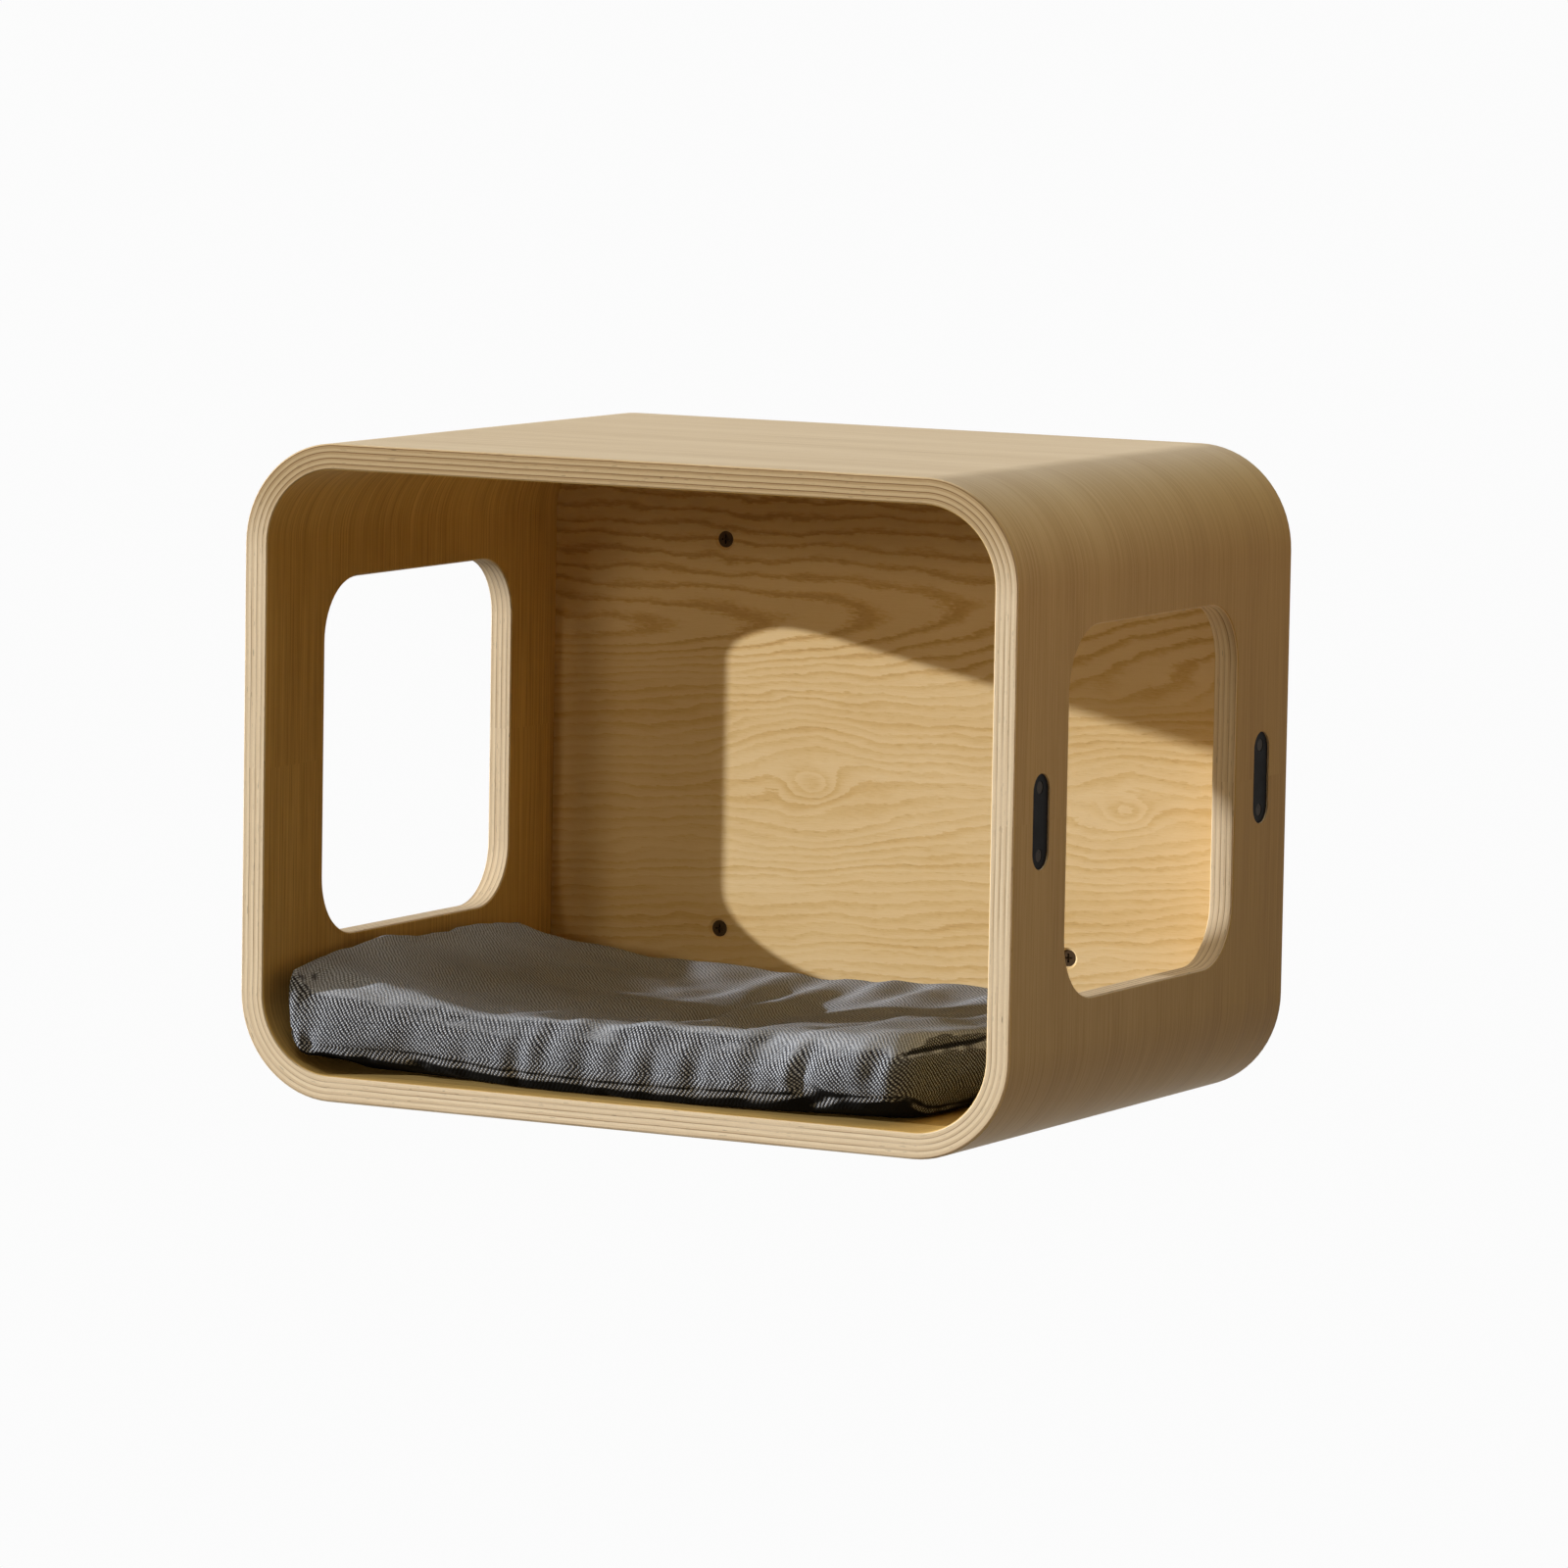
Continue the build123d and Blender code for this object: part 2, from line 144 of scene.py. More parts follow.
# Cushion, in millimetres: the shell's inside, and the space between the cushion and the shell
INNER_WALL = SHELL_HALF_WIDTH - PLY
INNER_FLOOR = SHELL_HALF_HEIGHT - PLY
INNER_CORNER = SHELL_CORNER - PLY
REST_GAP = 0.4
FRONT_LIMIT = 1.0 - SHELL_DEPTH

# Simulation: an even mesh that swells like stuffed cloth, by at most so many millimetres
VOXEL = 4.0
PAD_SMOOTHING = 6
FOAM_SMOOTHING = 10
CLOTH_FRAMES = 20
CLOTH_SETTINGS = {
    "quality": 6,
    "mass": 0.3,
    "tension_stiffness": 12.0,
    "compression_stiffness": 12.0,
    "bending_stiffness": 0.3,
    "use_pressure": True,
    "uniform_pressure_force": 4.0,
    "shrink_min": -0.012,
}
MOST_SWELLING = 5.0
FOAM_SHRINK = 4.0

# Front and corners: how far the front moves out and the lower left corner fills, and how the ends draw in
FRONT_PUSH = 8.0
FRONT_ZONE = (-285.0, -325.0)
FRONT_EDGE_ZONE = (-300.0, -340.0)
LEFT_CORNER_START = -198.0
LEFT_CORNER_REACH = 34.0
LEFT_CORNER_FILL = 11.0
LEFT_SQUEEZE_START = -208.0
LEFT_SQUEEZE = 0.35
LEFT_SQUEEZE_ZONE = (-285.0, -340.0)
RIGHT_SQUEEZE_START = 166.0
RIGHT_SQUEEZE = 0.5
RIGHT_SQUEEZE_ZONE = (-245.0, -325.0)
LOWER_SIDE_HEIGHT = 38.0

# The lower left corner: how far it moves out and down, and where in x and z each move sets in
CORNER_ZONE = (-290.0, -325.0)
CORNER_OUT, CORNER_OUT_X, CORNER_OUT_Z = 3.0, (-187.0, -209.0), (-138.0, -152.0)
CORNER_DOWN, CORNER_DOWN_X, CORNER_DOWN_Z = 6.0, (-190.0, -212.0), (-120.0, -138.0)

# Rear face, with a channel for the zip
REAR_FACE = -42.2
ZIP_CHANNEL_DEPTH = 2.5
ZIP_CHANNEL_HALF_HEIGHT = 4.5
ZIP_CHANNEL_HALF_LENGTH = 149.0
ZIP_BAND_HALF_HEIGHT = 11.0
ZIP_BAND_SPARE = 4.0
ZIP_BAND_DEPTH = 14.0

# Seams, and the crease in the left end of the front
SEAM_HEIGHT = 5.0
SEAM_HALF_WIDTH = 2.0
SEAM_DEPTH = 1.2
END_SEAM_Z = -134.0
END_SEAM_HALF_WIDTH = 1.6
END_SEAM_DEPTH = 1.4
CREASE_X, CREASE_Z = -207.0, -158.0
CREASE_REACH_X, CREASE_REACH_Z = 4.5, 7.0
CREASE_DEPTH = 3.5

# Points (x, z) of the cushion's top along the two shadow lines that cross it, of the left wall's front edge
# and of its window's front edge. Each line starts at the inner wall, at the y given, and follows the sun.
# They were worked out beforehand, with the fitted camera, from places read in the photograph, then
# rounded, and some were moved by up to 3 mm.
SHADOW_LINES = (
    (
        -SHELL_DEPTH,
        (
            (-176, -121),
            (-155, -126),
            (-134, -130),
            (-113, -135),
            (-92, -139),
            (-61, -140),
            (-40, -140),
            (33, -141),
            (54, -138),
            (74, -136),
            (116, -134),
            (147, -132),
        ),
    ),
    (
        -277.9,
        (
            (-126, -129),
            (-94, -134),
            (-73, -136),
            (-52, -139),
            (27, -140),
            (85, -135),
            (116, -133),
        ),
    ),
)

# Other points (x, y, z) of the top: front left corner, left end, rear, left part, middle, front, right end.
# Most were worked out beforehand from the top's outline and shadow lines in the photograph, then rounded and
# moved. The rest were judged.
OTHER_POINTS = (
    (-197, -325, -119),
    (-210, -330, -124),
    (-222, -325, -129),
    (-222, -295, -113),
    (-222, -255, -109),
    (-222, -215, -110),
    (-222, -150, -113),
    (-222, -95, -116),
    (-215, -60, -124),
    (-179, -65, -130),
    (-125, -65, -132),
    (-80, -65, -132),
    (-44, -65, -136),
    (77, -65, -133),
    (150, -65, -131),
    (-195, -220, -119),
    (-165, -180, -128),
    (-10, -250, -144),
    (64, -150, -138),
    (-60, -335, -130),
    (0, -335, -130),
    (50, -335, -129),
    (104, -335, -128),
    (160, -325, -127),
    (185, -250, -128),
)

# The top moves to its points: the reach of a point, the part of the top that it is measured against, the
# weight that it keeps far off, and the level below which the sides stretch
TOP_POINT_REACH = 26.0
TOP_POINT_NEAR = 14.0
TOP_FLATNESS = 0.85
FAR_WEIGHT, FAR_FALL = 1e-4, 0.05
LEAST_WEIGHT = 1e-9
TOP_LEVEL = -138.0

# Folds on the cushion's top: points (x, y), height, and reach to the left and to the right of the line
TOP_FOLDS = (
    (((10, -338), (6, -300), (4, -261), (1, -206), (3, -163), (-4, -115), (-6, -75)), 5.0, 9.0, 13.0),
    (((-84, -330), (-76, -298), (-74, -262)), 2.8, 8.0, 13.0),
    (((-38, -336), (-30, -315), (-4, -300)), 2.2, 7.0, 10.0),
    (((70, -336), (92, -305), (90, -261), (103, -232), (112, -180)), 2.4, 8.0, 13.0),
    (((112, -332), (127, -290), (143, -248), (156, -190), (160, -130)), 3.4, 8.0, 13.0),
    (((-42, -190), (-34, -140), (-40, -90), (-36, -60)), 2.0, 9.0, 14.0),
    (((60, -150), (68, -110), (60, -60)), 2.6, 10.0, 14.0),
    (((110, -120), (118, -90), (112, -55)), 2.2, 9.0, 12.0),
    (((30, -120), (26, -90), (32, -52)), 1.8, 8.0, 11.0),
)

# A fold's tip as a share of its length, the power of its taper, and the height and place of its trough
FOLD_TIP = 0.02
FOLD_TAPER = 0.6
FOLD_TROUGH = 0.35
FOLD_TROUGH_REACH = 1.8

# Waves on the top: size, height and direction, and how much longer they are the other way
TOP_WAVES = ((47.0, 0.5, 0.3), (78.0, 0.7, 1.2), (31.0, 0.25, 2.3))
WAVE_STRETCH = 1.7

# Gathers in the cushion's front face: x, the height of the deepest point, depth and reach across
FRONT_GATHERS = (
    (-140.0, -150.0, 0.8, 8.0),
    (-105.0, -160.0, 0.8, 6.0),
    (-70.0, -158.0, 1.8, 5.0),
    (-51.0, -150.0, 1.6, 5.0),
    (-26.0, -156.0, 1.5, 5.5),
    (-2.0, -150.0, 1.0, 5.0),
    (19.0, -155.0, 2.0, 5.5),
    (47.0, -154.0, 2.2, 5.5),
    (83.0, -152.0, 1.8, 6.0),
    (117.0, -147.0, 3.6, 5.0),
    (146.0, -156.0, 1.0, 6.0),
    (162.0, -142.0, 2.6, 6.0),
)
GATHER_TILT = 0.12
GATHER_HALF_HEIGHT = 13.0

# The front's lower edge stands off the floor: points (x, height above the floor)
FRONT_EDGE_LIFT = (
    (-232, 7),
    (-210, 8),
    (-190, 10),
    (-150, 10),
    (-130, 9),
    (-84, 5),
    (-20, 3),
    (40, 4),
    (95, 6),
    (128, 8),
    (173, 10),
    (200, 11),
)

# Camera, found by fitting the box to the photograph
CAMERA_AZIMUTH = radians(28.4736)
CAMERA_ELEVATION = radians(6.2528)
CAMERA_ROLL = radians(0.9733)
CAMERA_DISTANCE = 5.1138
CAMERA_TARGET = Vector((0.0105, -0.175, -0.0076))
CAMERA_LENS = 202.22
CAMERA_SENSOR = 36.0

# Faint light from all round, and more of it by direction, in a background that looks white
FILL_ALL_ROUND = (0.022, 0.010, 0.0)
FILL_FRONT = (0.03, 0.015, 0.0)
FILL_RIGHT = (0.04, 0.02, 0.002)
FILL_LEFT = (0.12, 0.10, 0.07)
FILL_ABOVE = (0.11, 0.095, 0.055)
BACKGROUND_WHITE = 0.97

# Floor: the white that the camera sees, and the grey that sends light back
FLOOR_DEPTH = -1.0
FLOOR_HALF_SIDE = 1.6
FLOOR_SEEN = (0.55, 0.58, 0.63)
FLOOR_UNSEEN = (0.2, 0.2, 0.2)
FLOOR_GLOW = 0.5
FLOOR_MOTTLE = 90.0


class Field:
    """A number that varies over a surface. Sums and products of fields add Math nodes to the tree."""

    def __init__(self, tree, socket):
        self.tree = tree
        self.socket = socket

    def math(self, operation, *others):
        node = self.tree.nodes.new("ShaderNodeMath")
        node.operation = operation
        for target, value in zip(node.inputs, (self, *others)):
            feed(self.tree, target, value)
        return Field(self.tree, node.outputs[0])

    def __add__(self, other):
        return self.math("ADD", other)

    def __mul__(self, other):
        return self.math("MULTIPLY", other)

    def __sub__(self, other):
        return self.math("SUBTRACT", other)

    def __truediv__(self, other):
        return self.math("DIVIDE", other)

    def __rsub__(self, other):
        return (self * -1.0) + other

    def __neg__(self):
        return self * -1.0

    def __abs__(self):
        return self.math("ABSOLUTE")

    __radd__ = __add__
    __rmul__ = __mul__

    def at_least(self, low):
        return self.math("MAXIMUM", low)

    def at_most(self, high):
        return self.math("MINIMUM", high)

    def root(self):
        return self.math("SQRT")

    def sign(self):
        return self.math("SIGN")

    def wave(self, spacing):
        """A sine wave, from -1 to 1, that repeats after the spacing."""
        return (self * (2 * pi / spacing)).math("SINE")

    def exp(self):
        return self.math("EXPONENT")

    def fraction(self):
        return self.math("FRACT")

    def floor(self):
        return self.math("FLOOR")

    def angle_from(self, other):
        return self.math("ARCTAN2", other)

    def rise(self, low, high):
        """0 below low and 1 above high, with a smooth step between them. low may be above high."""
        node = self.tree.nodes.new("ShaderNodeMapRange")
        node.interpolation_type = "SMOOTHSTEP"
        feed(self.tree, node.inputs["Value"], self)
        swapped = low > high
        node.inputs["From Min"].default_value = high if swapped else low
        node.inputs["From Max"].default_value = low if swapped else high
        node.inputs["To Min"].default_value = 1.0 if swapped else 0.0
        node.inputs["To Max"].default_value = 0.0 if swapped else 1.0
        return Field(self.tree, node.outputs["Result"])


def feed(tree, target, value):
    """Link a field to a socket, or set the socket to a constant."""
    if isinstance(value, Field):
        tree.links.new(value.socket, target)
    elif target.type == "RGBA" and len(value) == 3:
        target.default_value = (*value, 1.0)
    else:
        target.default_value = value


def coordinates(tree, output):
    """The x, y and z of one kind of texture coordinate."""
    source = tree.nodes.new("ShaderNodeTexCoord")
    split = tree.nodes.new("ShaderNodeSeparateXYZ")
    tree.links.new(source.outputs[output], split.inputs[0])
    return [Field(tree, part) for part in split.outputs]


class Surface:
    """A procedural material on a Principled shader, with one short call for each kind of node."""

    def __init__(self, name, roughness, specular):
        self.material = bpy.data.materials.new(name)
        self.material.use_nodes = True
        self.tree = self.material.node_tree
        self.shader = self.tree.nodes["Principled BSDF"]
        self.shader.inputs["Roughness"].default_value = roughness
        self.shader.inputs["Specular IOR Level"].default_value = specular

    def place(self):
        """The object coordinates x, y and z in millimetres."""
        return [part / MM for part in coordinates(self.tree, "Object")]

    def normal(self):
        """The x, y and z of the smooth surface normal."""
        return coordinates(self.tree, "Normal")

    def noise(self, x, y, z, detail=2.0, roughness=0.5):
        """Noise between 0 and 1 that changes over about one unit of x, y and z."""
        joined = self.tree.nodes.new("ShaderNodeCombineXYZ")
        for target, value in zip(joined.inputs, (x, y, z)):
            feed(self.tree, target, value)
        node = self.tree.nodes.new("ShaderNodeTexNoise")
        self.tree.links.new(joined.outputs[0], node.inputs["Vector"])
        node.inputs["Scale"].default_value = 1.0
        node.inputs["Detail"].default_value = detail
        node.inputs["Roughness"].default_value = roughness
        return Field(self.tree, node.outputs["Fac"])

    def grain(self, along, across, size, layer, detail=2.0, roughness=0.5):
        """Noise over a face, with features of a size (along, across). Each layer has another pattern."""
        return self.noise(along / size[0], across / size[1], layer, detail, roughness)

    def grit(self, x, y, z, size, detail=2.0):
        """Noise whose features have the same size in each direction."""
        return self.noise(x / size, y / size, z / size, detail)

    def ramp(self, field, stops):
        """Colours by a field: stops are (place, colour)."""
        node = self.tree.nodes.new("ShaderNodeValToRGB")
        elements = node.color_ramp.elements
        while len(elements) < len(stops):
            elements.new(0.5)
        for element, (place, colour) in zip(elements, stops):
            element.position = place
            element.color = (*colour, 1.0)
        feed(self.tree, node.inputs["Fac"], field)
        return Field(self.tree, node.outputs["Color"])

    def mix(self, factor, first, second, blend="MIX"):
        """A mix of two colours."""
        node = self.tree.nodes.new("ShaderNodeMix")
        node.data_type = "RGBA"
        node.blend_type = blend
        feed(self.tree, node.inputs[0], factor)
        feed(self.tree, node.inputs[6], first)
        feed(self.tree, node.inputs[7], second)
        return Field(self.tree, node.outputs[2])

    def tint(self, mask, colour, tint):
        """A colour multiplied by a tint, as far as the mask says."""
        return self.mix(mask, colour, tint, blend="MULTIPLY")

    def shade(self, colour, factor):
        """A colour made lighter or darker by a factor."""
        node = self.tree.nodes.new("ShaderNodeVectorMath")
        node.operation = "SCALE"
        feed(self.tree, node.inputs[0], colour)
        feed(self.tree, node.inputs["Scale"], factor)
        return Field(self.tree, node.outputs[0])

    def finish(self, colour, roughness=None, height=None, relief=0.1):
        """Connect the colour, the roughness and a height of so many millimetres of relief."""
        feed(self.tree, self.shader.inputs["Base Color"], colour)
        if roughness is not None:
            feed(self.tree, self.shader.inputs["Roughness"], roughness)
        if height is not None:
            bump = self.tree.nodes.new("ShaderNodeBump")
            bump.inputs["Distance"].default_value = relief * MM
            feed(self.tree, bump.inputs["Height"], height)
            self.tree.links.new(bump.outputs["Normal"], self.shader.inputs["Normal"])
        return self.material


def shell_coordinates(x, z):
    """Depth below the shell's outer face, and the distance along the bent outline, shifted for each half."""
    flat_height = SHELL_HALF_HEIGHT - SHELL_CORNER
    past_x = (abs(x) - FLAT_END).at_least(0.0)
    past_z = (abs(z) - flat_height).at_least(0.0)
    depth = SHELL_CORNER - (past_x * past_x + past_z * past_z).root()
    turn = past_x.angle_from(past_z) * (SHELL_CORNER - PLY / 2)
    flat_top = abs(x).at_most(FLAT_END)
    flat_side = (flat_height - abs(z)).at_least(0.0)
    run = (flat_top + turn + flat_side) * x.sign() + z.sign() * HALF_SHIFT
    return depth, run


def ply_stops():
    """Colours through the plywood: light and tan plies by turns, with a glue line before each tan one."""
    light_ply, tan_ply, glue = (0.90, 0.775, 0.575), (0.72, 0.575, 0.385), (0.34, 0.215, 0.11)
    stops = [(0.0, (0.80, 0.66, 0.46))]
    for glue_start, tan_end in GLUE_AND_TAN:
        glue_end = glue_start + GLUE_LINE_SHARE
        stops += [
            (glue_start - GLUE_BLUR, light_ply),
            (glue_start, glue),
            (glue_end, glue),
            (glue_end + GLUE_BLUR, tan_ply),
            (tan_end, tan_ply),
            (tan_end + PLY_BLUR, light_ply),
        ]
    stops.append((1.0, (0.76, 0.62, 0.42)))
    return stops


def cut_edge(surface, y, z, depth, run):
    """Colour and relief of a cut edge: plies that fade in places, with end grain, specks and small voids."""

    def uneven(size, detail=2.0):
        along, through = size
        return surface.noise(run / along, y / along, depth / through, detail)

    waver = surface.grain(run, y, EDGE_WAVER, 3.0) - 0.5
    plies = surface.ramp((depth + waver * 0.9) / PLY, ply_stops())
    upper = z.rise(118.0, 172.0) * (abs(y) / SHELL_DEPTH).rise(0.95, 0.99)
    fade = uneven(EDGE_FADE).rise(0.35, 0.7) * 0.65 + 0.15
    plies = surface.mix(fade * (1.0 - upper), plies, (0.80, 0.665, 0.475))
    grit = uneven(EDGE_GRIT, detail=3.0)
    speck = uneven(EDGE_SPECK)
    void = uneven(EDGE_VOID, detail=1.0).rise(0.7, 0.76)
    edge = surface.shade(plies, (grit * 0.34 + speck * 0.16 + 0.75) * (1.0 - void * 0.5))

    # The upper cut edges are a darker tan than the rest
    return surface.tint(upper, edge, (0.64, 0.57, 0.45)), grit * 0.5 + speck * 0.5


def bent_plywood():
    """Pale plain veneer whose grain runs round the bends, and the plies on every cut edge."""
    surface = Surface("bent_plywood", roughness=0.5, specular=0.1)
    x, y, z = surface.place()
    depth, run = shell_coordinates(x, z)

    # Face veneer: broad tone, straight streaks 1 to 2 mm wide, and fine pores
    face = depth.rise(7.0, 8.0) * FACE_SHIFT
    broad = surface.grain(run, y, VENEER_BROAD, face, detail=3.0)
    streak = surface.grain(run, y, VENEER_STREAK, face, detail=3.0, roughness=0.6)
    hair = surface.grain(run, y, VENEER_HAIR, face)
    pore = surface.grain(run, y, VENEER_PORE, face + PORE_SHIFT).rise(0.6, 0.75)
    tone = broad * 0.3 + streak * 0.55 + hair * 0.15 - pore * 0.05
    veneer = surface.ramp(
        tone,
        [
            (0.3, (0.49, 0.35, 0.195)),
            (0.42, (0.60, 0.465, 0.285)),
            (0.55, (0.69, 0.56, 0.375)),
            (0.7, (0.75, 0.63, 0.445)),
        ],
    )

    # The inner faces have stronger streaks, and a warmer tone that is painted warm shade inside the box
    inside = depth.rise(9.0, 10.0)
    veneer = surface.shade(veneer, (streak - 0.5) * inside * 0.7 + 1.0)
    veneer = surface.tint(inside, veneer, (0.95, 0.80, 0.42))

    # Painted shade: the left outer face is a little darker, and the right one warmer,
    # most of all towards the wall, where it is darker too
    painted_shade_left = (-x).rise(200.0, 245.0) * (1.0 - inside)
    veneer = surface.tint(painted_shade_left, veneer, (0.86, 0.86, 0.84))
    painted_shade_right = x.rise(200.0, 245.0) * (1.0 - inside)
    veneer = surface.tint(painted_shade_right, veneer, (1.0, 0.93, 0.68))
    painted_shade_to_rear = painted_shade_right * y.rise(-300.0, 0.0)
    veneer = surface.tint(painted_shade_to_rear, veneer, (0.80, 0.74, 0.56))

    edge, edge_relief = cut_edge(surface, y, z, depth, run)
    far_arris = PLY - ARRIS
    on_edge = depth.rise(ARRIS, ARRIS + ARRIS_BLUR) * depth.rise(far_arris, far_arris - ARRIS_BLUR)
    colour = surface.mix(on_edge, veneer, edge)
    height = tone * (1.0 - on_edge) + edge_relief * on_edge
    gloss = streak * 0.14 + on_edge * 0.12 + 0.42
    return surface.finish(colour, roughness=gloss, height=height, relief=0.12)


def panel_plywood():
    """Flat-sawn veneer with horizontal growth rings that close into tongues high up and eyes low down."""
    surface = Surface("panel_plywood", roughness=0.5, specular=0.1)
    x, _, z = surface.place()

    # Low down the ring lines are level, bent a little by waves, and part round two eyes
    low = z.at_most(TONGUES_START)
    in_tongues = z.rise(30.0, 64.0)
    wobble = surface.grain(x, z, WOBBLE, 1.0) - 0.5
    height = low + wobble * (in_tongues * -0.75 + 1.0) * WOBBLE_LIFT
    ripple = surface.grain(x, z, RIPPLE, 2.0, detail=4.0, roughness=0.6) - 0.5
    height = height + ripple * (in_tongues * -0.5 + 1.0) * RIPPLE_LIFT
    height = height + (surface.grain(x, z, JITTER, 3.0) - 0.5) * JITTER_LIFT
    for middle_x, middle_z, reach_x, reach_z, lift in PANEL_EYES:
        across = (x - middle_x) / reach_x
        up = (z - middle_z) / reach_z
        height = height + (-(across * across + up * up)).exp() * lift

    # Higher up they are wide tongues, nested hyperbolas that point to the right
    bend = (surface.grain(x, z, BEND, 13.0, detail=3.0) - 0.5) * BEND_LIFT
    high = (z.at_least(TONGUES_START) - TONGUES_AXIS - x * TONGUES_SLOPE + bend) / TONGUES_WIDTH
    tongue = (high * high + 1.0).root() * TONGUES_RINGS
    slant = (x / -70.0 + 0.68) * in_tongues
    count = height / RING_SPACING + tongue + slant + FIRST_RING
    ring = count.fraction()
    ring_number = count.floor()
    strength = surface.noise(x / 190.0, ring_number * 0.73, 5.0).rise(0.25, 0.75)
    late = ring.rise(0.1, 0.86) * ring.rise(1.0, 0.9)
    wide_late = ring.rise(0.42, 0.84) * ring.rise(1.04, 0.82)
    late = late + (wide_late - late) * in_tongues
    strength = strength + (0.85 - strength) * in_tongues * 0.7
    fibre = surface.grain(x, z, PANEL_FIBRE, 7.0, detail=3.0, roughness=0.65)
    flecks = surface.grain(x, z, PANEL_FLECK, 9.0).rise(0.54, 0.72)
    broad = surface.grain(x, z, PANEL_BROAD, 11.0, detail=3.0)
    ring_depth = strength * 0.34 + 0.08 + in_tongues * 0.26
    tone = late * ring_depth + (fibre - 0.5) * 0.5 + (broad - 0.5) * 0.9
    tone = tone + flecks * (late * 0.22 + 0.06) + 0.12
    colour = surface.ramp(
        tone,
        [
            (0.0, (0.80, 0.62, 0.355)),
            (0.27, (0.74, 0.55, 0.28)),
            (0.52, (0.67, 0.465, 0.205)),
            (0.87, (0.52, 0.325, 0.12)),
        ],
    )
    relief = fibre * 0.5 - late * strength * 0.4 - flecks * 0.5
    return surface.finish(colour, roughness=late * 0.1 + 0.45, height=relief, relief=0.12)


def black_metal(name, colour, roughness, grain):
    """Black finished metal with a fine texture and a little wear."""
    surface = Surface(name, roughness=roughness, specular=0.03)
    x, y, z = surface.place()
    grit = surface.grit(x, y, z, grain, detail=3.0)
    patch = surface.grit(x, y, z, WORN_PATCH)
    shaded = surface.shade(colour, grit * 0.5 + patch * 0.7 + 0.4)
    return surface.finish(shaded, roughness=patch * 0.2 + (roughness - 0.1), height=grit, relief=0.03)


def biscuit_wood():
    """Pressed beech with short grain and flecks."""
    surface = Surface("biscuit_wood", roughness=0.7, specular=0.3)
    x, y, z = surface.place()
    grain = surface.noise(x / 2.0, y / 8.0, z / 0.6, detail=3.0)
    fleck = surface.noise(x / 0.4, y / 1.6, z / 0.4, detail=1.0).rise(0.6, 0.7)
    colour = surface.ramp(grain, [(0.3, (0.55, 0.40, 0.24)), (0.7, (0.72, 0.56, 0.37))])
    return surface.finish(surface.shade(colour, 1.0 - fleck * 0.25), height=grain, relief=0.1)


def foam_block():
    """Open-cell foam."""
    surface = Surface("foam", roughness=0.95, specular=0.1)
    x, y, z = surface.place()
    cells = surface.grit(x, y, z, FOAM_CELL)
    colour = surface.ramp(cells, [(0.3, (0.62, 0.60, 0.50)), (0.6, (0.84, 0.82, 0.72))])
    return surface.finish(colour, height=cells, relief=0.4)


def nylon_zip():
    """Woven tape with moulded teeth along the chain."""
    surface = Surface("zip_nylon", roughness=0.6, specular=0.4)
    x, _, z = surface.place()
    teeth = x.wave(ZIP_TOOTH_SPACING)
    weave = x.wave(TAPE_THREAD_SPACING) * z.wave(TAPE_THREAD_SPACING)
    colour = surface.shade((0.10, 0.10, 0.11), teeth * 0.25 + weave * 0.15 + 0.9)
    return surface.finish(colour, height=teeth + weave * 0.3, relief=0.25)


def twill_weave(surface, across, along, turn):
    """Height of the weave at a place on the cloth, whose ribs turn back at a line."""
    chevron = abs(along - turn)
    wobble = surface.grain(across, along, (RIB_WOBBLE, RIB_WOBBLE), 1.0) - 0.5
    rib = (across + chevron * 0.9 + wobble * 3.0).wave(RIB_SPACING) * 0.5 + 0.5
    thread = (across * 0.8 - chevron + wobble * 1.2).wave(THREAD_SPACING) * 0.5 + 0.5
    slub = surface.grain(across, along, (SLUB, SLUB), 3.0)
    return rib * (thread * 0.75 + 0.28) * 0.82 + slub * 0.75 - 0.22


def grey_twill():
    """Grey twill, with light ribs and dark gaps that turn back along a level line, as in a herringbone."""
    surface = Surface("grey_twill", roughness=0.95, specular=0.06)
    x, y, z = surface.place()
    across, _, up = surface.normal()
    on_top = abs(up).rise(0.6, 0.8)
    on_end = abs(across).rise(0.5, 0.9) * (1.0 - on_top)
    turn = surface.noise(x / 60.0, 0.0, 2.0, detail=1.0) * 8.0 + SIDE_RIBS_TURN
    front = twill_weave(surface, x, z, turn)
    end = twill_weave(surface, y, z, turn)
    # Painted light: the top's weave is mapped lighter, and flatter, than the sides'
    top = twill_weave(surface, x, y, TOP_RIBS_TURN) * 0.4 + 0.4
    side = front + (end - front) * on_end
    cloth = side + (top - side) * on_top
    patch = surface.grit(x, y, z, CLOTH_PATCH)
    colour = surface.ramp(
        cloth,
        [
            (0.15, (0.016, 0.016, 0.020)),
            (0.42, (0.115, 0.125, 0.147)),
            (0.62, (0.385, 0.415, 0.468)),
            (0.9, (0.70, 0.76, 0.85)),
        ],
    )

    # Painted shade: the right end's colour is darkened, most of all along its seam
    end_seam = abs(z - END_SEAM_Z).rise(2.2, 0.8)
    painted_end_shade = on_end * x.rise(150.0, 180.0) * 0.4 * (end_seam * 1.3 + 1.0)
    colour = surface.shade(colour, (patch * 0.4 + 0.8) * (1.0 - painted_end_shade))

    # Painted shade: the underside is painted near black, for the shade under the cushion
    below = (-up).rise(0.5, 0.7)
    colour = surface.mix(below, colour, (0.006, 0.006, 0.006))
    return surface.finish(colour, height=cloth, relief=0.35)


def floor_under(x):
    """Height of the shell's inner face under x: flat, then up the bend."""
    past = np.clip(np.abs(x) - FLAT_END, 0.0, INNER_CORNER - 0.5)
    return -INNER_FLOOR + INNER_CORNER - np.sqrt(INNER_CORNER**2 - past**2)


